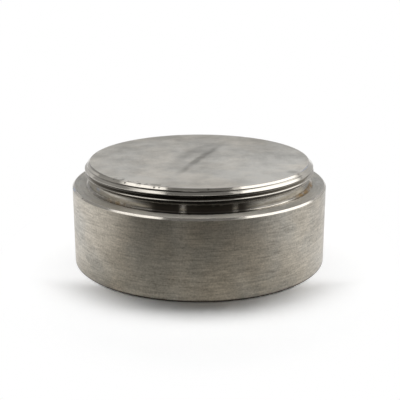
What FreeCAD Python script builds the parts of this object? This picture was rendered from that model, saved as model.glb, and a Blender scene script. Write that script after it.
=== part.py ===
import FreeCAD, Part
import math
import os

# An evaporation target for a vacuum coating source, turned from one bar of titanium.
# It stands on the large face, the one that is evaporated, with its threaded boss upwards.
# The origin is the centre of the large face and Z is the axis of the lathe. Sizes are in millimetres.

# Body
body_diameter = 100.0
overall_height = 40.0
base_edge_radius = 0.4

# Boss, and the shoulder around it that seats against the holder
boss_height = 9.0
shoulder_chamfer = 0.7
lead_in_chamfer = 2.0

# Thread of the boss, right-handed, with a metric section
thread_diameter = 90.0
thread_pitch = 2.0
thread_angle = 60.0
# Depth of the groove's centre line below the boss's end face, measured at the side that faces -Y
groove_depth_at_front = 1.05

# Relief groove between the thread and the shoulder, where the threading tool runs out
relief_diameter = 87.2
relief_width = 5.5
relief_foot_radius = 1.0

# Room between the threading tool and the faces that it only has to clear
tool_clearance = 0.15

# Sizes that follow from the ones above
body_radius = body_diameter / 2
shoulder_height = overall_height - boss_height
thread_radius = thread_diameter / 2
relief_radius = relief_diameter / 2
# The relief ends in a 45 degree bevel that rises to the crest of the thread
bevel_top_height = shoulder_height + relief_width
bevel_bottom_height = bevel_top_height - (thread_radius - relief_radius)

# Metric section: the sharp triangle loses an eighth of its height at the crest, and the root is 17/24 deep
flank_slope = math.tan(math.radians(thread_angle / 2))
sharp_height = thread_pitch / (2 * flank_slope)
thread_depth = 17 / 24 * sharp_height
crest_flat = thread_pitch / 8
root_radius = thread_radius - thread_depth


def point(radius, height):
    """A point of a section, drawn in the XZ plane."""
    return FreeCAD.Vector(radius, 0, height)


def line(start, end):
    return Part.LineSegment(start, end).toShape()


def quarter_arc(start, end, centre):
    """A quarter circle about its centre, through the point midway between its two ends."""
    radius = start.distanceToPoint(centre)
    towards_middle = (start + end) * 0.5 - centre
    middle = centre + towards_middle.normalize() * radius
    return Part.Arc(start, middle, end).toShape()


def turned_blank():
    """The target as it is before the thread is cut: one section turned about the axis."""
    base_centre = point(0, 0)
    base_edge = point(body_radius - base_edge_radius, 0)
    side_bottom = point(body_radius, base_edge_radius)
    side_top = point(body_radius, shoulder_height - shoulder_chamfer)
    shoulder_edge = point(body_radius - shoulder_chamfer, shoulder_height)
    foot_outside = point(relief_radius + relief_foot_radius, shoulder_height)
    foot_top = point(relief_radius, shoulder_height + relief_foot_radius)
    bevel_bottom = point(relief_radius, bevel_bottom_height)
    bevel_top = point(thread_radius, bevel_top_height)
    lead_in_bottom = point(thread_radius, overall_height - lead_in_chamfer)
    end_face_edge = point(thread_radius - lead_in_chamfer, overall_height)
    end_face_centre = point(0, overall_height)

    base_arc_centre = point(body_radius - base_edge_radius, base_edge_radius)
    foot_arc_centre = point(relief_radius + relief_foot_radius, shoulder_height + relief_foot_radius)
    section = Part.Wire([
        line(base_centre, base_edge),
        quarter_arc(base_edge, side_bottom, base_arc_centre),
        line(side_bottom, side_top),
        line(side_top, shoulder_edge),
        line(shoulder_edge, foot_outside),
        quarter_arc(foot_outside, foot_top, foot_arc_centre),
        line(foot_top, bevel_bottom),
        line(bevel_bottom, bevel_top),
        line(bevel_top, lead_in_bottom),
        line(lead_in_bottom, end_face_edge),
        line(end_face_edge, end_face_centre),
        line(end_face_centre, base_centre),
    ])
    return Part.Face(section).revolve(FreeCAD.Vector(0, 0, 0), FreeCAD.Vector(0, 0, 1), 360)


def thread_groove():
    """The space that the threading tool takes away: a V with a flat root, swept along a helix.

    The sweep starts beside the relief groove, where it touches nothing, and leaves through the lead-in
    chamfer above the end face. So the groove grows shallow and fades out where the chamfer meets its root.
    """
    tool_radius = thread_radius + tool_clearance
    half_width_at_crest = (thread_pitch - crest_flat) / 2
    half_width_outside = half_width_at_crest + tool_clearance * flank_slope
    half_width_at_root = half_width_at_crest - thread_depth * flank_slope

    start_height = bevel_bottom_height - half_width_outside - tool_clearance
    end_height = overall_height + half_width_outside + tool_clearance
    section = Part.makePolygon([
        point(root_radius, -half_width_at_root),
        point(tool_radius, -half_width_outside),
        point(tool_radius, half_width_outside),
        point(root_radius, half_width_at_root),
        point(root_radius, -half_width_at_root),
    ])
    helix = Part.makeLongHelix(thread_pitch, end_height - start_height, root_radius)
    groove = Part.Wire(helix.Edges).makePipeShell([section], True, True)

    # Turn the start of the helix so that the groove passes the front at its measured depth
    rise_to_front = overall_height - groove_depth_at_front - start_height
    front_angle = -90.0
    start_angle = front_angle - 360.0 * rise_to_front / thread_pitch
    groove.rotate(FreeCAD.Vector(0, 0, 0), FreeCAD.Vector(0, 0, 1), start_angle)
    groove.translate(FreeCAD.Vector(0, 0, start_height))
    return groove


def evaporation_target():
    return turned_blank().cut(thread_groove())


os.makedirs("parts", exist_ok=True)
target = evaporation_target()
target.exportStep("parts/target.step")
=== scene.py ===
import math

import bpy
import numpy as np
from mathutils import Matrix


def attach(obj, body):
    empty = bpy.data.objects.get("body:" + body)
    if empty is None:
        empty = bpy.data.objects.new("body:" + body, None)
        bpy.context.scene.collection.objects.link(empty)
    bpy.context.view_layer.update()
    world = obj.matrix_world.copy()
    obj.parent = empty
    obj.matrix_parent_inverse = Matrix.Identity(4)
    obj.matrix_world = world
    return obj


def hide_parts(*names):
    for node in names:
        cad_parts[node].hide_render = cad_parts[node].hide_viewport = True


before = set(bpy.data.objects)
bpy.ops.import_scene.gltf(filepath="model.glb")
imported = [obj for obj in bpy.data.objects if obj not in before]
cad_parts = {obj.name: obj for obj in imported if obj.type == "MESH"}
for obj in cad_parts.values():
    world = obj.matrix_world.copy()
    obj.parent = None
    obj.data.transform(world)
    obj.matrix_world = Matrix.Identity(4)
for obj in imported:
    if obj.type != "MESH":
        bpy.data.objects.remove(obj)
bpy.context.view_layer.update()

MM = 0.001

# Sizes of the turned part in millimetres, as the CAD source has them, except that the relief groove
# follows the photograph and is 0.8 narrower
BODY_RADIUS = 50.0
OVERALL_HEIGHT = 40.0
BASE_EDGE_RADIUS = 0.4
SHOULDER_HEIGHT = 31.0
SHOULDER_CHAMFER = 0.7
LEAD_IN_CHAMFER = 2.0
THREAD_RADIUS = 45.0
THREAD_PITCH = 2.0
GROOVE_DEPTH_AT_FRONT = 1.05
RELIEF_RADIUS = 43.6
RELIEF_WIDTH = 4.7
RELIEF_FOOT_RADIUS = 1.0

# The boss has two 45 degree cones. All over the bevel above the relief groove, the radius less the height
# is the same, and all over the lead-in chamfer, the radius plus the height.
BEVEL_OFFSET = THREAD_RADIUS - SHOULDER_HEIGHT - RELIEF_WIDTH
LEAD_IN_SUM = THREAD_RADIUS + OVERALL_HEIGHT - LEAD_IN_CHAMFER

# Metric thread section
FLANK_SLOPE = math.tan(math.radians(30.0))
THREAD_DEPTH = 17 / 24 * THREAD_PITCH / (2 * FLANK_SLOPE)
ROOT_RADIUS = THREAD_RADIUS - THREAD_DEPTH
CREST_FLAT = THREAD_PITCH / 8
HALF_WIDTH_AT_CREST = (THREAD_PITCH - CREST_FLAT) / 2
HALF_WIDTH_AT_ROOT = HALF_WIDTH_AT_CREST - THREAD_DEPTH * FLANK_SLOPE

# How far deburring and the tool's nose round the corners of the boss, and the radius of the body's top edge
EDGE_SOFTNESS = 0.10
ROOT_SOFTNESS = 0.25
NECK_SOFTNESS = 0.12
FACET_SOFTNESS = 0.03
SHOULDER_EDGE_RADIUS = 0.2

# Depth of the facet that deburring leaves on the ridge above the relief groove, how flat the ridge may be
# to have one, and over what distance the facet fades
RIDGE_FACET = 0.11
FLATTEST_RIDGE = 0.45
FACET_FADE = 0.1

# Columns of faces round the part; the first one is at the back, opposite the camera
COLUMNS = 640
FRONT_ANGLE = -math.pi / 2
FIRST_ANGLE = math.pi / 2

# Rings that divide the surfaces: radii on the faces, heights on the sides, and rises on the chamfer
LARGE_FACE_RINGS = (12.0, 24.0, 36.0, 47.0)
SIDE_RINGS = (6.0, 14.0, 22.0, 28.0)
CHAMFER_RINGS = (0.35, 0.60)
SHOULDER_RINGS = (49.1, 47.8, 46.2)
NECK_RINGS = (32.6, 33.3)
END_FACE_RINGS = (42.4, 41.8, 40.5, 36.0, 28.0, 18.0, 8.0)

# The rows of faces that follow the thread lie between these heights
THREAD_ROWS_LOW = 34.0
THREAD_ROWS_HIGH = OVERALL_HEIGHT - 0.2

# Where those rows lie: distances from the corners of the section, and shares of its two flanks. The flank
# above a ridge has more rows, because the bevel and the facet cut into it.
ROWS_AT_ROOT = (-0.06, 0.0, 0.06)
ROWS_AT_CREST = (-0.04, -0.015, 0.015, 0.06)
ROWS_UNDER_RIDGE = (0.3, 0.6, 0.85)
ROWS_OVER_RIDGE = (0.22, 0.38, *[0.50 + 0.04 * step for step in range(11)])

# Parts of the surface, in the order of the materials
END_FACE, CHAMFER, THREAD, NECK, SHOULDER, SIDE, LARGE_FACE = range(7)

# Nicks in the edges: degrees to the right of the front, radius, height, reach and depth in millimetres
NICKS = (
    (-46.0, 43.2, 39.8, 0.6, 0.10),
    (-38.0, 43.4, 39.6, 0.5, 0.07),
    (-21.5, 43.4, 39.6, 0.6, 0.08),
    (-19.0, 43.3, 39.7, 0.5, 0.08),
    (4.2, 43.2, 39.8, 0.7, 0.10),
    (152.0, 43.1, 39.8, 0.7, 0.12),
    (-61.0, 49.6, 30.7, 0.7, 0.10),
    (118.0, 49.6, 30.7, 0.8, 0.12),
)


def soft_min(a, b, size):
    """The smaller of two radii, with the corner between them rounded."""
    overlap = np.maximum(size - np.abs(a - b), 0.0) / size
    return np.minimum(a, b) - overlap * overlap * size / 4


def soft_max(a, b, size):
    return -soft_min(-a, -b, size)


def blank_radius(height):
    """Radius of the boss before its thread is cut, from the neck up to the lead-in chamfer."""
    neck_and_bevel = soft_max(BEVEL_OFFSET + height, RELIEF_RADIUS, NECK_SOFTNESS)
    with_crest = soft_min(neck_and_bevel, THREAD_RADIUS, EDGE_SOFTNESS)
    return soft_min(with_crest, LEAD_IN_SUM - height, EDGE_SOFTNESS)


def groove_centre(angle):
    """Height of the groove that passes the front below the end face. It rises by a pitch in each turn."""
    height_at_front = OVERALL_HEIGHT - GROOVE_DEPTH_AT_FRONT
    return height_at_front + THREAD_PITCH * (angle - FRONT_ANGLE) / (2 * math.pi)


def ridge_facet_radius(height, centre):
    """A 45 degree cone that takes the corner off the ridge between the bevel and the groove above it.

    The ridge is sharp where the groove's flank meets the bevel, and flat where it meets the crest first.
    """
    flank_at_centre = ROOT_RADIUS - HALF_WIDTH_AT_ROOT / FLANK_SLOPE
    meeting = (BEVEL_OFFSET + centre - flank_at_centre) / (1 + 1 / FLANK_SLOPE)
    corner_height = centre - np.minimum(meeting, HALF_WIDTH_AT_CREST)
    corner_radius = np.minimum(BEVEL_OFFSET + corner_height, THREAD_RADIUS)

    # There is none where the groove has run out into the bevel, nor where the ridge is a whole crest
    before_run_out = meeting - HALF_WIDTH_AT_ROOT
    before_crest = HALF_WIDTH_AT_CREST + FLATTEST_RIDGE - meeting
    share = np.clip(np.minimum(before_run_out, before_crest) / FACET_FADE, 0, 1)
    facet = corner_radius + corner_height - height - RIDGE_FACET * share
    return np.where(share > 0, facet, THREAD_RADIUS)


def boss_radius(height, angle):
    """Radius of the threaded boss: the blank, cut by the helical groove."""
    below = height - groove_centre(angle) + THREAD_PITCH / 2
    from_centre = below % THREAD_PITCH - THREAD_PITCH / 2
    flank = ROOT_RADIUS + (np.abs(from_centre) - HALF_WIDTH_AT_ROOT) / FLANK_SLOPE
    groove = soft_max(flank, ROOT_RADIUS, ROOT_SOFTNESS)
    cut = soft_min(blank_radius(height), groove, EDGE_SOFTNESS)
    facet = ridge_facet_radius(height, height - from_centre)
    return np.where(from_centre < 0, soft_min(cut, facet, FACET_SOFTNESS), cut)


def boss_normals(height, angle):
    """Outward normals of the boss, from the slopes of its radius."""
    step = 0.002
    turn = step / THREAD_RADIUS
    radius = boss_radius(height, angle)
    along = (boss_radius(height + step, angle) - boss_radius(height - step, angle)) / (2 * step)
    around = (boss_radius(height, angle + turn) - boss_radius(height, angle - turn)) / (2 * turn)
    sideways = -around / radius
    normals = np.stack([
        np.cos(angle) - sideways * np.sin(angle),
        np.sin(angle) + sideways * np.cos(angle),
        -along,
    ], axis=-1)
    return normals / np.linalg.norm(normals, axis=-1, keepdims=True)


class PartMesh:
    """Vertices with their normals, and faces with their part of the surface."""

    def __init__(self):
        self.places = np.zeros((0, 3))
        self.normals = np.zeros((0, 3))
        self.faces = []
        self.surfaces = []
        self.angles = FIRST_ANGLE + 2 * math.pi * np.arange(COLUMNS) / COLUMNS

    def add(self, places, normals):
        """Adds vertices and returns their numbers."""
        first = len(self.places)
        self.places = np.concatenate([self.places, places])
        self.normals = np.concatenate([self.normals, normals])
        return np.arange(first, len(self.places))

    def ring(self, radius, height, tilt):
        """Adds a level ring. Tilt is the angle of its outward normals above the horizon."""
        cosines, sines, ones = np.cos(self.angles), np.sin(self.angles), np.ones(COLUMNS)
        places = np.stack([radius * cosines, radius * sines, height * ones], axis=-1)
        level = math.cos(tilt)
        normals = np.stack([level * cosines, level * sines, math.sin(tilt) * ones], axis=-1)
        return self.add(places, normals)

    def quads(self, a, b, c, d, surface):
        """Adds the faces with those corners, as triangles where two corners are one, if any is left."""
        for corners in np.stack([a, b, c, d], axis=-1).reshape(-1, 4).tolist():
            kept = [corner for i, corner in enumerate(corners) if corner != corners[i - 1]]
            if len(kept) >= 3:
                self.faces.append(kept)
                self.surfaces.append(surface)

    def band(self, first, second, surface):
        """Faces between two rings, where the second is further along the outline from the base's centre."""
        self.quads(first, np.roll(first, -1), np.roll(second, -1), second, surface)

    def rows(self, ring, outline, surface):
        """Adds a ring and a band for each point of an outline: radius, height and tilt."""
        for radius, height, tilt in outline:
            following = self.ring(radius, height, tilt)
            self.band(ring, following, surface)
            ring = following
        return ring


def arc(centre_radius, centre_height, radius, start, end, count):
    """Outline points of an arc after its first point, by the tilt of its outward normal.

    With a negative radius the arc is hollow, and its normals point to its centre.
    """
    points = []
    for step in range(1, count + 1):
        tilt = start + (end - start) * step / count
        out, up = radius * math.cos(tilt), radius * math.sin(tilt)
        points.append((centre_radius + out, centre_height + up, tilt))
    return points


def row_offsets():
    """Heights of the thread's rows within a pitch, from the middle of one root to the next."""
    depth = HALF_WIDTH_AT_CREST - HALF_WIDTH_AT_ROOT
    root = [HALF_WIDTH_AT_ROOT + offset for offset in ROWS_AT_ROOT]
    crest = [HALF_WIDTH_AT_CREST + offset for offset in ROWS_AT_CREST]
    under_ridge = [HALF_WIDTH_AT_ROOT + depth * share for share in ROWS_UNDER_RIDGE]
    over_ridge = [HALF_WIDTH_AT_ROOT + depth * share for share in ROWS_OVER_RIDGE]
    rising = root + under_ridge + crest
    falling = root + over_ridge + crest
    return [0.0] + rising + [THREAD_PITCH / 2] + [THREAD_PITCH - offset for offset in reversed(falling)]


def add_threaded_rows(mesh, bottom, top):
    """Rows that follow the helix between two level rings, and end where they meet one of them."""
    offsets = row_offsets()
    per_pitch = len(offsets)
    turns = 5
    start = groove_centre(FIRST_ANGLE) - (turns - 1) * THREAD_PITCH
    rows = np.arange((turns + 1) * per_pitch)
    row_heights = start + THREAD_PITCH * (rows // per_pitch) + np.array(offsets)[rows % per_pitch]
    heights = row_heights[:, None] + THREAD_PITCH * np.arange(COLUMNS)[None, :] / COLUMNS
    angles = np.broadcast_to(mesh.angles, heights.shape)

    merge_distance = 0.012
    under = heights <= THREAD_ROWS_LOW + merge_distance
    over = heights >= THREAD_ROWS_HIGH - merge_distance
    inside = ~(under | over)
    radius = boss_radius(heights[inside], angles[inside])
    places = np.stack([
        radius * np.cos(angles[inside]),
        radius * np.sin(angles[inside]),
        heights[inside],
    ], axis=-1)
    corners = np.where(under, bottom, top)
    corners[inside] = mesh.add(places, boss_normals(heights[inside], angles[inside]))

    # After one turn a row is at the height of the row a pitch above it
    last_row = turns * per_pitch
    closing = corners[per_pitch:, 0][:last_row]
    corners = np.column_stack([corners[:last_row], closing])
    mesh.quads(corners[:-1, :-1], corners[:-1, 1:], corners[1:, 1:], corners[1:, :-1], THREAD)


def turned_target():
    """The whole surface, from the centre of the large face to the centre of the end face."""
    mesh = PartMesh()
    level, rising, upward = 0.0, math.pi / 4, math.pi / 2
    side_top = SHOULDER_HEIGHT - SHOULDER_CHAMFER
    shoulder_edge = BODY_RADIUS - SHOULDER_CHAMFER
    foot = RELIEF_RADIUS + RELIEF_FOOT_RADIUS
    face_edge = THREAD_RADIUS - LEAD_IN_CHAMFER
    flat_end = BODY_RADIUS - BASE_EDGE_RADIUS

    # Large face, its rounded edge and the side of the body
    centre = mesh.add([[0, 0, 0]], [[0, 0, -1]])
    ring = mesh.ring(LARGE_FACE_RINGS[0], 0.0, -upward)
    mesh.quads(np.full(COLUMNS, centre), np.full(COLUMNS, centre), np.roll(ring, -1), ring, LARGE_FACE)
    ring = mesh.rows(ring, [(r, 0.0, -upward) for r in (*LARGE_FACE_RINGS[1:], flat_end)], LARGE_FACE)
    base_edge = arc(flat_end, BASE_EDGE_RADIUS, BASE_EDGE_RADIUS, -upward, level, count=8)
    ring = mesh.rows(ring, base_edge, SIDE)
    ring = mesh.rows(ring, [(BODY_RADIUS, z, level) for z in SIDE_RINGS], SIDE)

    # Chamfer of the shoulder, with a rounded edge on either side, and the shoulder
    arc_start = side_top - SHOULDER_EDGE_RADIUS * math.tan(rising / 2)
    arc_centre = BODY_RADIUS - SHOULDER_EDGE_RADIUS
    outer_edge = arc(arc_centre, arc_start, SHOULDER_EDGE_RADIUS, level, rising, count=4)
    ring = mesh.rows(ring, [(BODY_RADIUS, arc_start, level), *outer_edge], SIDE)
    chamfer = [(BODY_RADIUS - rise, side_top + rise, rising) for rise in CHAMFER_RINGS]
    inner_edge = (shoulder_edge - 0.04, SHOULDER_HEIGHT - 0.008, 1.2)
    ring = mesh.rows(ring, [*chamfer, inner_edge], CHAMFER)
    ring = mesh.rows(ring, [(r, SHOULDER_HEIGHT, upward) for r in (*SHOULDER_RINGS, foot)], SHOULDER)

    # Fillet at the foot of the neck, and the neck
    fillet_centre = SHOULDER_HEIGHT + RELIEF_FOOT_RADIUS
    fillet = arc(foot, fillet_centre, -RELIEF_FOOT_RADIUS, upward, level, count=10)
    ring = mesh.rows(ring, fillet, NECK)
    ring = mesh.rows(ring, [(RELIEF_RADIUS, z, level) for z in (*NECK_RINGS, THREAD_ROWS_LOW)], NECK)

    # Thread and lead-in chamfer
    top = mesh.ring(LEAD_IN_SUM - THREAD_ROWS_HIGH, THREAD_ROWS_HIGH, rising)
    add_threaded_rows(mesh, ring, top)

    # Rounded edge of the end face, and the face
    rounded_edge = [
        (face_edge + 0.07, OVERALL_HEIGHT - 0.07, rising),
        (face_edge, OVERALL_HEIGHT - 0.02, 1.15),
        (face_edge - 0.1, OVERALL_HEIGHT, upward),
    ]
    ring = mesh.rows(top, rounded_edge, CHAMFER)
    ring = mesh.rows(ring, [(r, OVERALL_HEIGHT, upward) for r in END_FACE_RINGS], END_FACE)
    centre = mesh.add([[0, 0, OVERALL_HEIGHT]], [[0, 0, 1]])
    mesh.quads(ring, np.roll(ring, -1), np.full(COLUMNS, centre), np.full(COLUMNS, centre), END_FACE)
    return mesh


def press_nicks(mesh):
    """Pushes the nicks in, and returns which vertices moved."""
    moved = np.zeros(len(mesh.places), bool)
    for azimuth, radius, height, reach, depth in NICKS:
        angle = FRONT_ANGLE + math.radians(azimuth)
        centre = np.array([radius * math.cos(angle), radius * math.sin(angle), height])
        distance = np.linalg.norm(mesh.places - centre, axis=1)
        share = np.clip(1 - (distance / reach) ** 2, 0, 1) ** 2
        inward = np.array([-math.cos(angle), -math.sin(angle), -1.0]) / math.sqrt(2)
        mesh.places += depth * share[:, None] * inward
        moved |= share > 0
    return moved


def make_object(mesh, name):
    """The mesh as an object in metres. Its normals are exact, except round the nicks."""
    moved = press_nicks(mesh)
    data = bpy.data.meshes.new(name)
    data.from_pydata((mesh.places * MM).tolist(), [], mesh.faces)
    data.polygons.foreach_set("material_index", mesh.surfaces)
    data.polygons.foreach_set("use_smooth", [True] * len(mesh.faces))
    data.update()
    found = np.zeros(len(mesh.places) * 3, np.float32)
    data.vertex_normals.foreach_get("vector", found)
    normals = np.where(moved[:, None], found.reshape(-1, 3), mesh.normals)
    data.normals_split_custom_set_from_vertices(normals.tolist())
    return link_object(name, data)


def link_object(name, data):
    made = bpy.data.objects.new(name, data)
    bpy.context.scene.collection.objects.link(made)
    return made


class Graph:
    """A node tree that is filled by short calls. A value is a number, a colour or another node's output."""

    def __init__(self, owner):
        owner.use_nodes = True
        self.tree = owner.node_tree
        self.tree.nodes.clear()

    def add(self, kind, inputs, **settings):
        made = self.tree.nodes.new(kind)
        for name, value in settings.items():
            setattr(made, name, value)
        for key, value in inputs.items():
            if isinstance(value, bpy.types.NodeSocket):
                self.tree.links.new(value, made.inputs[key])
            else:
                made.inputs[key].default_value = value
        return made

    def math(self, operation, *values):
        return self.add("ShaderNodeMath", dict(enumerate(values)), operation=operation).outputs[0]

    def chain(self, operation, values):
        """The operation on the first two values, then on the result and the next value, and so on."""
        result = values[0]
        for value in values[1:]:
            result = self.math(operation, result, value)
        return result

    def total(self, *values):
        return self.chain("ADD", values)

    def product(self, *values):
        return self.chain("MULTIPLY", values)

    def most(self, *values):
        return self.chain("MAXIMUM", values)

    def least(self, *values):
        return self.chain("MINIMUM", values)

    def difference(self, first, second):
        return self.math("SUBTRACT", first, second)

    def scale(self, value, low, high, to_low, to_high):
        """Carries a value smoothly from one range to another, and stays within it."""
        inputs = {"Value": value, "From Min": low, "From Max": high, "To Min": to_low, "To Max": to_high}
        return self.add("ShaderNodeMapRange", inputs, interpolation_type="SMOOTHSTEP").outputs[0]

    def rise(self, value, start, full):
        """0 up to the start, rising smoothly to 1 at the full value."""
        return self.scale(value, start, full, 0.0, 1.0)

    def fade(self, value, full, end):
        """1 up to the full value, falling smoothly to 0 at the end."""
        return self.scale(value, full, end, 1.0, 0.0)

    def near(self, value, middle, reach):
        """1 where the value is at the middle, falling to 0 at that reach from it."""
        return self.fade(self.math("ABSOLUTE", self.difference(value, middle)), 0.0, reach)

    def noise(self, vector, scale, detail):
        inputs = {"Vector": vector, "Scale": scale, "Detail": detail, "Roughness": 0.6}
        return self.add("ShaderNodeTexNoise", inputs).outputs["Fac"]

    def centred(self, noise, share):
        """Noise about zero, times a share."""
        return self.product(self.difference(noise, 0.5), share)

    def mix(self, share, first, second, blend="MIX"):
        inputs = {0: share, 6: first, 7: second}
        return self.add("ShaderNodeMix", inputs, data_type="RGBA", blend_type=blend).outputs[2]

    def mix_shaders(self, share, first, second):
        return self.add("ShaderNodeMixShader", {0: share, 1: first.outputs[0], 2: second.outputs[0]})

    def finish(self, shader, kind="Material"):
        self.add("ShaderNodeOutput" + kind, {"Surface": shader.outputs[0]})


def colour(red, green, blue):
    return (red, green, blue, 1.0)


WHITE = colour(1.0, 1.0, 1.0)


class TurnedSpace:
    """The place on the part in the lathe's terms: radius, height, and azimuth to the right of the front."""

    def __init__(self, graph):
        self.graph = graph
        self.place = graph.add("ShaderNodeTexCoord", {}).outputs["Object"]
        self.x, self.y, self.z = graph.add("ShaderNodeSeparateXYZ", {0: self.place}).outputs
        squares = graph.total(graph.product(self.x, self.x), graph.product(self.y, self.y))
        self.radius = graph.math("SQRT", squares)
        self.azimuth = graph.math("ARCTAN2", self.x, graph.product(self.y, -1.0))

    def noise(self, scale, detail):
        return self.graph.noise(self.place, scale, detail)

    def lines(self, length, width, detail):
        """Noise drawn out into lines round the axis, without a seam. Length and width in metres."""
        graph = self.graph
        vector = graph.add("ShaderNodeCombineXYZ", {
            0: graph.product(self.x, 1 / length),
            1: graph.product(self.y, 1 / length),
            2: graph.product(graph.difference(self.z, self.radius), 1 / width),
        }).outputs[0]
        return graph.noise(vector, 1.0, detail)

    def near_azimuth(self, degrees, reach):
        return self.graph.near(self.azimuth, math.radians(degrees), math.radians(reach))

    def between_azimuths(self, start, end, fade):
        """1 between two azimuths in degrees, falling to 0 over the same fade outside them."""
        middle = math.radians((start + end) / 2)
        half = math.radians((end - start) / 2)
        away = self.graph.math("ABSOLUTE", self.graph.difference(self.azimuth, middle))
        return self.graph.fade(away, half, half + math.radians(fade))

    def near_place(self, azimuth, radius, height, reach):
        """1 at a place given in degrees and millimetres, falling to 0 at that reach from it."""
        angle = FRONT_ANGLE + math.radians(azimuth)
        place = (radius * math.cos(angle) * MM, radius * math.sin(angle) * MM, height * MM)
        distance = self.graph.add("ShaderNodeVectorMath", {0: self.place, 1: place}, operation="DISTANCE")
        return self.graph.fade(distance.outputs["Value"], 0.0, reach * MM)

    def groove_depth(self):
        """How deep a point lies below the boss as it was before threading, in metres."""
        graph = self.graph
        lead_in = graph.difference(LEAD_IN_SUM * MM, self.z)
        bevel = graph.total(BEVEL_OFFSET * MM, self.z)
        return graph.difference(graph.least(lead_in, bevel, THREAD_RADIUS * MM), self.radius)


# Titanium as a metal reflects it, where it is dark and where it is light
FACE_TINTS = (colour(0.41, 0.398, 0.37), colour(0.66, 0.64, 0.597))
# The end face's tints are the faces' tints made lighter: painted light on the top
LIGHTER_END_TINTS = (colour(0.445, 0.427, 0.392), colour(0.72, 0.693, 0.64))
CUT_TINTS = (colour(0.38, 0.36, 0.32), colour(0.58, 0.545, 0.49))
NECK_TINTS = (colour(0.32, 0.30, 0.262), colour(0.74, 0.695, 0.62))
SIDE_TINTS = (colour(0.29, 0.272, 0.24), colour(0.68, 0.638, 0.565))

# What the warm and the cool clouds take from it, and the colours of its marks: dirt and painted shade,
# smears, residue, a blue tint and a painted sheen
COOL_CLOUD = colour(0.80, 0.85, 0.90)
WARM_CLOUD = colour(1.15, 1.08, 0.98)
# Dark for dirt and for painted shade in the thread, corners and nicks and along the base
SHADE_AND_GRIME = colour(0.05, 0.043, 0.036)
SMEAR = colour(0.20, 0.19, 0.175)
RESIDUE = colour(0.25, 0.155, 0.05)
BLUE_TINT = colour(0.34, 0.39, 0.49)
# A painted sheen, lighter than the metal
PAINTED_SHEEN = colour(0.92, 0.87, 0.78)

# Azimuths between which the corner at the foot of the neck has thick painted shade, and the shoulder a
# painted sheen
SHADED_FRONT = (-20, 20)
SHEEN_FRONT = (-26, 19)

# Blue tints on the chamfer, the neck and the rim of the shoulder: azimuth, radius, height and reach
BLUE_PATCHES = ((69, 44.0, 39.0, 9.0), (-60, 43.6, 34.5, 3.0), (-76, 49.8, 30.6, 5.0))

# Direction across the line in which the end face was marked and smeared, and half the line's length
ACROSS_SMEARS = (0.94, -0.34)
SMEAR_REACH = 34.0 * MM

# Cycles of the metal's noise in a metre, and length and width of the lines that the turning left
GRAIN_SCALE = 1500.0
MOTTLE_SCALES = (150.0, 50.0)
CLOUD_SCALE = 42.0
FINE_LINE = (6.0 * MM, 0.6 * MM)
BROAD_LINE = (30.0 * MM, 1.8 * MM)


def groove_dirt_and_shade(graph, part):
    """Dirt and painted shade in the thread, thickest at the front: in the root of its top turn, and all over
    the next.
    """
    root = graph.fade(graph.difference(part.radius, ROOT_RADIUS * MM), 0.10 * MM, 0.26 * MM)
    next_turn = graph.fade(part.z, 37.4 * MM, 37.8 * MM)
    in_groove = graph.rise(part.groove_depth(), 0.06 * MM, 0.22 * MM)
    all_round, at_front = 0.25, 0.64
    thickness = graph.total(all_round, graph.product(part.near_azimuth(-15.0, reach=85.0), at_front))
    return graph.product(in_groove, graph.most(root, next_turn), thickness)


def bevel_corner_shade(graph, part):
    """A little painted shade in the corner between the neck and the bevel over it, at the front."""
    thickness = 0.65
    bevel_foot = RELIEF_RADIUS - BEVEL_OFFSET
    corner = graph.near(part.z, (bevel_foot + 0.1) * MM, 0.9 * MM)
    return graph.product(corner, part.near_azimuth(5.0, reach=75.0), thickness)


def edge_flecks_and_shade(graph, part):
    """Painted shade in the nicks, dirt flecks beside the edge of the end face, and a painted dark line along
    it at the left.
    """
    in_nicks = [part.near_place(*place, reach) for *place, reach, _ in NICKS]
    specks = graph.scale(part.noise(420.0, 3.0), 0.49, 0.58, 0.0, 0.85)
    beside_edge = graph.near(part.radius, 41.8 * MM, 2.2 * MM)
    specks = graph.product(specks, part.near_azimuth(-31.0, reach=24.0), beside_edge)
    # Painted dark line along the rim at the left
    edge_line = graph.near(part.radius, 43.1 * MM, 0.5 * MM)
    edge_line = graph.product(edge_line, part.near_azimuth(-66.0, reach=22.0), 0.7)
    return graph.most(*in_nicks, specks, edge_line)


def from_corner(graph, part, rise_share):
    """Distance out from the corner of the relief groove and a share of the rise from it, made ragged."""
    foot = graph.difference(part.radius, RELIEF_RADIUS * MM)
    rise = graph.difference(part.z, SHOULDER_HEIGHT * MM)
    ragged = graph.centred(part.noise(500.0, 4.0), 1.2 * MM)
    return graph.total(foot, graph.product(rise, rise_share), ragged)


def corner_shade(graph, part):
    """Painted shade in the corner: thick and up the neck at the front, and a thin line at the left and the
    right.

    It leaves two gaps on the neck, where the windows' reflections show.
    """
    # Gaps in the painted shade, where the windows' reflections on the neck show
    right_gap = graph.product(part.near_azimuth(17.0, reach=2.2), 0.6)
    reflection_gaps = graph.product(graph.most(part.near_azimuth(-7.6, reach=2.4), right_gap), 0.8)
    up_the_neck = graph.scale(from_corner(graph, part, 0.4), 1.1 * MM, 1.7 * MM, 0.98, 0.0)
    front = part.between_azimuths(*SHADED_FRONT, fade=10)
    thick = graph.product(up_the_neck, front, graph.difference(1.0, reflection_gaps))
    line = graph.scale(from_corner(graph, part, 1.0), 0.6 * MM, 1.3 * MM, 0.7, 0.0)
    sides = graph.most(part.between_azimuths(-80, -24, fade=8), part.between_azimuths(52, 80, fade=7))
    return graph.most(thick, graph.product(line, sides))


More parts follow.
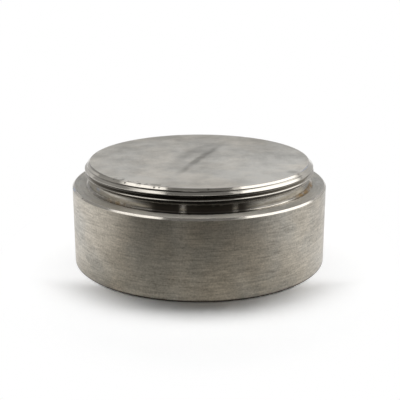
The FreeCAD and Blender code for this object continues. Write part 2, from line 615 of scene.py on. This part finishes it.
def corner_residue(graph, part):
    """Brown residue that has dried in the corner, a little at the left and more at the right."""
    away = from_corner(graph, part, 1.0)
    spots = graph.scale(part.noise(380.0, 3.0), 0.40, 0.58, 0.3, 1.0)
    left = graph.scale(away, 0.6 * MM, 1.5 * MM, 0.5, 0.0)
    left = graph.product(left, part.near_azimuth(-43.0, reach=13.0))
    right = graph.scale(away, 0.7 * MM, 1.6 * MM, 0.95, 0.0)
    right = graph.product(right, part.between_azimuths(61, 82, fade=9))
    return graph.product(graph.most(left, right), spots)


def front_painted_sheen(graph, part):
    """A painted sheen makes the shoulder brighter at the front, outside the corner."""
    outside = graph.scale(part.radius, 44.6 * MM, 45.2 * MM, 0.0, 0.55)
    return graph.product(outside, part.between_azimuths(*SHEEN_FRONT, fade=16))


def blue_patches(graph, part):
    patches = [part.near_place(*patch) for patch in BLUE_PATCHES]
    return graph.product(graph.most(*patches), 0.85)


def base_edge_shade(graph, part):
    """Painted shade along the edge on which the part stands."""
    return graph.scale(part.z, 0.2 * MM, 0.9 * MM, 0.85, 0.0)


def face_directions(graph, part):
    """Distances across and along the line of the smears, which wanders a little."""
    wander = graph.centred(part.noise(90.0, 3.0), 3.0 * MM)
    x_share, y_share = ACROSS_SMEARS
    across = graph.total(graph.product(part.x, x_share), graph.product(part.y, y_share), wander)
    along = graph.total(graph.product(part.x, -y_share), graph.product(part.y, x_share))
    return across, along


def face_smears(graph, part):
    """Two dark smears that run across the end face, and a smudge near its edge."""
    across, along = face_directions(graph, part)
    patches = graph.scale(part.noise(170.0, 3.0), 0.36, 0.62, 0.45, 1.0)
    first = graph.product(graph.near(across, 0.6 * MM, 2.4 * MM), graph.near(along, -1.0 * MM, SMEAR_REACH))
    second = graph.product(graph.near(across, -6.5 * MM, 4.0 * MM), graph.near(along, 0.0, SMEAR_REACH))
    smudge = graph.product(part.near_place(59.0, 40.8, OVERALL_HEIGHT, reach=4.0), 0.5)
    darkest = 0.55
    first = graph.product(first, 0.95, patches)
    return graph.least(graph.most(first, graph.product(second, 0.24), smudge), darkest)


def face_highlights_and_smear(graph, part):
    """Painted highlights on the end face, left and right of the front and at its edge, the front painted
    lighter than the back, and a lighter smear beside the dark one.
    """
    across, along = face_directions(graph, part)
    left = part.near_place(-30.0, 36.0, OVERALL_HEIGHT, reach=20.0)
    right = part.near_place(48.0, 33.0, OVERALL_HEIGHT, reach=34.0)
    edge_patches = [part.near_place(azimuth, 41.5, OVERALL_HEIGHT, reach=9.0) for azimuth in (-33.0, 33.0)]
    at_edge = graph.product(graph.most(*edge_patches), 1.4)
    beside = graph.product(graph.near(across, 4.5 * MM, 6.0 * MM), graph.near(along, 22.0 * MM, 22.0 * MM))
    beside = graph.product(beside, 0.5)
    front = graph.scale(part.y, -45.0 * MM, 45.0 * MM, 0.35, -0.35)
    return graph.total(left, right, at_edge, beside, front)


# The colour of each mark: dirt, smears, residue and blue tint, painted shade, and a painted sheen
MARK_COLOURS = {
    groove_dirt_and_shade: SHADE_AND_GRIME,
    bevel_corner_shade: SHADE_AND_GRIME,
    edge_flecks_and_shade: SHADE_AND_GRIME,
    corner_shade: SHADE_AND_GRIME,
    base_edge_shade: SHADE_AND_GRIME,
    corner_residue: RESIDUE,
    front_painted_sheen: PAINTED_SHEEN,
    blue_patches: BLUE_TINT,
    face_smears: SMEAR,
}

# Each surface has its tints, the shares that say how much its lines, grain, mottle, clouds and painted
# highlights show, the height of its lines in metres, and its marks, painted shade and sheen among them, in
# the order in which they lie on each other
SURFACES = {
    END_FACE: dict(
        name="titanium_end_face", tints=LIGHTER_END_TINTS, roughness=0.42, anisotropy=0.3,
        lines=0.4, grain=0.5, mottle=1.3, clouds=0.25, light=0.35,
        marks=(face_smears, edge_flecks_and_shade),
    ),
    CHAMFER: dict(
        name="titanium_chamfer", tints=CUT_TINTS, roughness=0.14, anisotropy=0.3,
        lines=1.4, grain=0.5, broad=0.6, mottle=0.3, bump=1e-7,
        marks=(edge_flecks_and_shade, blue_patches),
    ),
    THREAD: dict(
        name="titanium_thread", tints=CUT_TINTS, roughness=0.11, anisotropy=0.2,
        lines=0.6, grain=0.2, mottle=0.4,
        marks=(groove_dirt_and_shade, bevel_corner_shade, edge_flecks_and_shade),
    ),
    NECK: dict(
        name="titanium_neck", tints=NECK_TINTS, roughness=0.11, anisotropy=0.3,
        lines=1.8, grain=0.5, broad=0.8, bump=2e-7,
        marks=(bevel_corner_shade, corner_shade, corner_residue, blue_patches),
    ),
    SHOULDER: dict(
        name="titanium_shoulder", tints=FACE_TINTS, roughness=0.52, anisotropy=0.2,
        lines=1.2, grain=0.8, broad=0.6, mottle=0.5, clouds=0.3,
        marks=(front_painted_sheen, corner_shade, corner_residue),
    ),
    SIDE: dict(
        name="titanium_side", tints=SIDE_TINTS, roughness=0.38, anisotropy=0.6,
        lines=1.3, grain=1.1, broad=0.4, mottle=0.5, clouds=0.35, bump=4e-7,
        marks=(base_edge_shade,),
    ),
    LARGE_FACE: dict(
        name="titanium_large_face", tints=FACE_TINTS, roughness=0.34, anisotropy=0.5,
        lines=1.4, grain=0.6, broad=0.6, mottle=0.8, clouds=0.3, bump=3e-7,
    ),
}


def titanium(
    name, tints, roughness, anisotropy, lines, grain,
    broad=0.0, mottle=0.0, clouds=0.0, light=0.0, bump=0.0, marks=(),
):
    """Turned titanium, lighter and smoother where its lines, grain and mottle are light."""
    material = bpy.data.materials.new(name)
    graph = Graph(material)
    part = TurnedSpace(graph)
    fine_lines = part.lines(*FINE_LINE, detail=3.0)
    shade = graph.total(
        0.5,
        graph.centred(fine_lines, lines),
        graph.centred(part.noise(GRAIN_SCALE, detail=2.0), grain),
        graph.centred(part.lines(*BROAD_LINE, detail=2.0), broad),
        graph.centred(part.noise(MOTTLE_SCALES[0], detail=5.0), mottle),
        graph.centred(part.noise(MOTTLE_SCALES[1], detail=3.0), mottle),
    )
    # Painted highlights on the end face
    if light:
        shade = graph.total(shade, graph.product(face_highlights_and_smear(graph, part), light))
    tint = graph.mix(graph.least(graph.most(shade, 0.0), 1.0), *tints)
    spread = 0.15
    rough = graph.scale(shade, 0.0, 1.0, roughness * (1 + spread), roughness * (1 - spread))
    if clouds:
        cloud = graph.rise(part.noise(CLOUD_SCALE, detail=3.0), 0.36, 0.64)
        tint = graph.mix(clouds, tint, graph.mix(cloud, COOL_CLOUD, WARM_CLOUD), "MULTIPLY")
    rougher_marks = 0.2
    for mark in marks:
        amount = mark(graph, part)
        tint = graph.mix(amount, tint, MARK_COLOURS[mark])
        rough = graph.total(rough, graph.product(amount, rougher_marks))

    height = graph.add("ShaderNodeBump", {"Strength": 1.0, "Distance": bump, "Height": fine_lines})
    tangent = graph.add("ShaderNodeTangent", {}, direction_type="RADIAL", axis="Z")
    shader = graph.add("ShaderNodeBsdfPrincipled", {
        "Base Color": tint,
        "Metallic": 1.0,
        "Roughness": rough,
        "Anisotropic": anisotropy,
        "Anisotropic Rotation": 0.25,
        "Normal": height.outputs[0],
        "Tangent": tangent.outputs[0],
    })
    graph.finish(shader)
    return material


target = make_object(turned_target(), "turned_target")
for surface in sorted(SURFACES):
    target.data.materials.append(titanium(**SURFACES[surface]))
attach(target, "root")
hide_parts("target")


# The studio, in metres. The part stands in front of a dark room, between two softboxes overhead
ROOM_RADIUS = 1.5
ROOM_HEIGHT = 1.8
ROOM_SPAN = (-125, 125)
DARK_ROOM = colour(0.012, 0.012, 0.012)

# Light from its sides: the azimuths where it starts and where it is full, and its strength
LEFT_LIGHT = (-39, -94, 0.90)
RIGHT_LIGHT = (25, 82, 0.79)

# The table's card starts just outside the part
TABLE_INSIDE = 0.0506
TABLE_HEIGHT = 0.0004
TABLE_NEAR = colour(0.385, 0.366, 0.328)
TABLE_FAR = colour(0.02, 0.019, 0.017)

# Windows at the end of the room, and their gleams on the table: azimuth and width in degrees, strength
WINDOWS = ((-13.3, 3.0, 0.65), (31.5, 2.4, 0.4), (44.5, 3.0, 0.25))
WINDOW_DISTANCE = 0.60
WINDOW_HEIGHTS = (0.02, 0.42)
GLEAM_START = 0.135
GLEAM_HEIGHT = 0.0008

BACKDROP_RADIUS = 1.3
BACKDROP_HEIGHT = 0.80
BACKDROP_SPAN = (130, 230)

# Cards overhead
CEILING_HEIGHT = 0.62
CEILING = ((-1.7, -0.65), (0.9, -0.65), (0.9, 0.9), (-1.7, 1.7))
SOFTBOX_HEIGHT = 0.54
SOFTBOX_LEFT = ((-0.137, 0.105), (-0.233, -0.24), (-0.68, 0.16), (-0.31, 0.30))
SOFTBOX_RIGHT = ((0.165, 0.115), (0.305, -0.22), (0.98, 0.30), (1.16, 0.90), (0.38, 0.46))
SOFTBOX_EDGE = ((0.165, 0.115), (0.275, -0.150), (0.215, -0.165), (0.110, 0.115))

# The lamp that casts the shadow
KEY_PLACE = (0.0, 0.20, 0.60)
KEY_SIZE = (0.70, 0.30)
KEY_RADIANCE = 5.2

# Camera, fitted to the edges of the part in the photograph
CAMERA_LENS = 79.131
CAMERA_PLACE = (0.0, -0.33737, 0.12509)
CAMERA_DOWN = 16.872
CAMERA_RIGHT = 0.052


def glow_material(name, paint):
    """Emission whose colour comes from paint, a function of the graph and the place."""
    material = bpy.data.materials.new(name)
    graph = Graph(material)
    shown = paint(graph, TurnedSpace(graph))
    graph.finish(graph.add("ShaderNodeEmission", {"Color": shown, "Strength": 1.0}))
    return material


def plain_glow(strength):
    return lambda graph, part: colour(strength, strength, strength)


def side_light(graph, part):
    """How light the room is by azimuth: dark in front, and light at the left and the right."""
    sides = []
    for start, full, strength in (LEFT_LIGHT, RIGHT_LIGHT):
        sides.append(graph.scale(part.azimuth, math.radians(start), math.radians(full), 0.0, strength))
    return graph.total(*sides)


def room_glow(graph, part):
    return graph.mix(side_light(graph, part), DARK_ROOM, WHITE)


def table_glow(graph, part):
    """The table is warm and light beside the part, dark further in front, and streaked by the windows."""
    beside = graph.fade(part.radius, 0.080, 0.148)
    streaks = graph.total(part.near_azimuth(-11.0, reach=3.5), part.near_azimuth(22.0, reach=4.0))
    light = graph.total(side_light(graph, part), graph.product(streaks, 0.12))
    return graph.mix(light, graph.mix(beside, TABLE_FAR, TABLE_NEAR), WHITE)


def ceiling_glow(graph, part):
    """The ceiling is dim over the part, and lighter further out and in front."""
    outer = graph.scale(part.radius, 0.30, 0.75, 0.26, 0.45)
    front = graph.scale(part.y, -0.50, -0.34, 0.75, 0.0)
    return graph.total(outer, front)


def backdrop_glow(graph, part):
    return graph.scale(part.z, 0.25, 0.80, 0.66, 0.98)


def softbox_glow(corners, strength):
    """Light of a softbox, which fades towards the edge between its last two corners."""
    faded, fade_reach = 0.35, 0.20
    (x, y), (end_x, end_y) = corners[-2:]
    length = math.hypot(end_x - x, end_y - y)

    def paint(graph, part):
        across = graph.product(graph.difference(part.x, x), (end_y - y) / length)
        along = graph.product(graph.difference(part.y, y), (x - end_x) / length)
        distance = graph.math("ABSOLUTE", graph.total(across, along))
        return graph.scale(distance, 0.0, fade_reach, faded, strength)

    return paint


def place_card(name, points, faces, paint):
    """A card that only the metal mirrors."""
    data = bpy.data.meshes.new(name)
    data.from_pydata(points, [], faces)
    data.materials.append(glow_material(name, paint))
    made = link_object(name, data)
    made.visible_camera = False
    made.visible_shadow = False
    made.visible_diffuse = False


def level_card(name, corners, height, paint):
    place_card(name, [(*corner, height) for corner in corners], [range(len(corners))], paint)


def curved_card(name, first, second, span, paint):
    """A card between two arcs round the axis, each a radius and a height; span in degrees from the front."""
    steps = 48
    points = []
    for radius, height in (first, second):
        for i in range(steps + 1):
            angle = math.radians(span[0] + (span[1] - span[0]) * i / steps)
            points.append((radius * math.sin(angle), -radius * math.cos(angle), height))
    faces = [(i, i + 1, steps + i + 2, steps + i + 1) for i in range(steps)]
    place_card(name, points, faces, paint)


def room_cards():
    table_end = (ROOM_RADIUS, TABLE_HEIGHT)
    curved_card("dark_room", (ROOM_RADIUS, 0.0), (ROOM_RADIUS, ROOM_HEIGHT), ROOM_SPAN, room_glow)
    curved_card("table", (TABLE_INSIDE, TABLE_HEIGHT), table_end, ROOM_SPAN, table_glow)
    sill, lintel = [(WINDOW_DISTANCE, height) for height in WINDOW_HEIGHTS]
    gleam_start, gleam_end = [(radius, GLEAM_HEIGHT) for radius in (GLEAM_START, WINDOW_DISTANCE)]
    for number, (azimuth, width, strength) in enumerate(WINDOWS):
        span = (azimuth - width / 2, azimuth + width / 2)
        glow = plain_glow(strength)
        curved_card(f"window_{number}", sill, lintel, span, glow)
        curved_card(f"gleam_{number}", gleam_start, gleam_end, span, glow)
    backdrop_top = (BACKDROP_RADIUS, BACKDROP_HEIGHT)
    curved_card("backdrop", (BACKDROP_RADIUS, 0.0), backdrop_top, BACKDROP_SPAN, backdrop_glow)


def cards_overhead():
    level_card("ceiling", CEILING, CEILING_HEIGHT, ceiling_glow)
    level_card("softbox_left", SOFTBOX_LEFT, SOFTBOX_HEIGHT, softbox_glow(SOFTBOX_LEFT, 2.1))
    level_card("softbox_right", SOFTBOX_RIGHT, SOFTBOX_HEIGHT, softbox_glow(SOFTBOX_RIGHT, 2.5))
    level_card("softbox_edge", SOFTBOX_EDGE, SOFTBOX_HEIGHT, plain_glow(1.1))


def key_light():
    """A level lamp over the part and a little behind it, which the metal doesn't mirror."""
    data = bpy.data.lights.new("key", "AREA")
    data.shape = "RECTANGLE"
    data.size, data.size_y = KEY_SIZE
    data.energy = KEY_RADIANCE * math.pi * data.size * data.size_y
    made = link_object("key", data)
    made.location = KEY_PLACE
    made.visible_camera = False
    made.visible_glossy = False


def seen_rays(graph):
    """1 for the rays that show a thing: straight, mirrored or through glass."""
    path = graph.add("ShaderNodeLightPath", {}).outputs
    return graph.most(path["Is Camera Ray"], path["Is Glossy Ray"], path["Is Transmission Ray"])


def floor_material():
    """White paper with the part's shadow in front, little of it beside and behind, and none far away."""
    material = bpy.data.materials.new("white_floor")
    graph = Graph(material)
    seen = seen_rays(graph)
    place = graph.add("ShaderNodeTexCoord", {}).outputs["Object"]
    sideways = (1.35, 1.0, 1.0)
    stretched = graph.add("ShaderNodeVectorMath", {0: place, 1: sideways}, operation="MULTIPLY").outputs[0]
    distance = graph.add("ShaderNodeVectorMath", {0: stretched}, operation="LENGTH").outputs["Value"]
    y = graph.add("ShaderNodeSeparateXYZ", {0: place}).outputs[1]
    # Beside and behind the part the paper mostly glows white, painted light over the part's shadow there;
    # far away it glows white all over
    beside = graph.scale(y, -0.040, -0.024, 0.0, 0.82)
    far = graph.most(beside, graph.rise(distance, 0.060, 0.110))

    # The paper is lighter where it is seen, so that it meets the glow without an edge
    lighting, looking = 0.85, 1.6
    whiteness = graph.scale(seen, 0.0, 1.0, lighting, looking)
    shade = graph.add("ShaderNodeCombineColor", {0: whiteness, 1: whiteness, 2: whiteness}).outputs[0]
    paper = graph.add("ShaderNodeBsdfDiffuse", {"Color": shade})
    glow = graph.add("ShaderNodeEmission", {"Color": WHITE, "Strength": 1.0})
    graph.finish(graph.mix_shaders(graph.product(seen, far), paper, glow))
    return material


def white_floor():
    data = bpy.data.meshes.new("floor")
    reach = 12.0
    corners = [(-reach, -reach, 0), (reach, -reach, 0), (reach, reach, 0), (-reach, reach, 0)]
    data.from_pydata(corners, [], [(0, 1, 2, 3)])
    data.materials.append(floor_material())
    link_object("floor", data)


def white_world():
    """White where it is seen, and a faint ambient light otherwise."""
    world = bpy.data.worlds.new("studio")
    bpy.context.scene.world = world
    graph = Graph(world)
    ambient = graph.add("ShaderNodeBackground", {"Color": WHITE, "Strength": 0.03})
    white = graph.add("ShaderNodeBackground", {"Color": WHITE, "Strength": 1.0})
    graph.finish(graph.mix_shaders(seen_rays(graph), ambient, white), "World")


def place_camera():
    data = bpy.data.cameras.new("camera")
    data.sensor_width = 36.0
    data.lens = CAMERA_LENS
    camera = link_object("camera", data)
    camera.location = CAMERA_PLACE
    camera.rotation_euler = (math.radians(90 - CAMERA_DOWN), 0.0, math.radians(-CAMERA_RIGHT))
    bpy.context.scene.camera = camera


room_cards()
cards_overhead()
key_light()
white_floor()
white_world()
place_camera()
bpy.context.scene.view_settings.view_transform = "Standard"
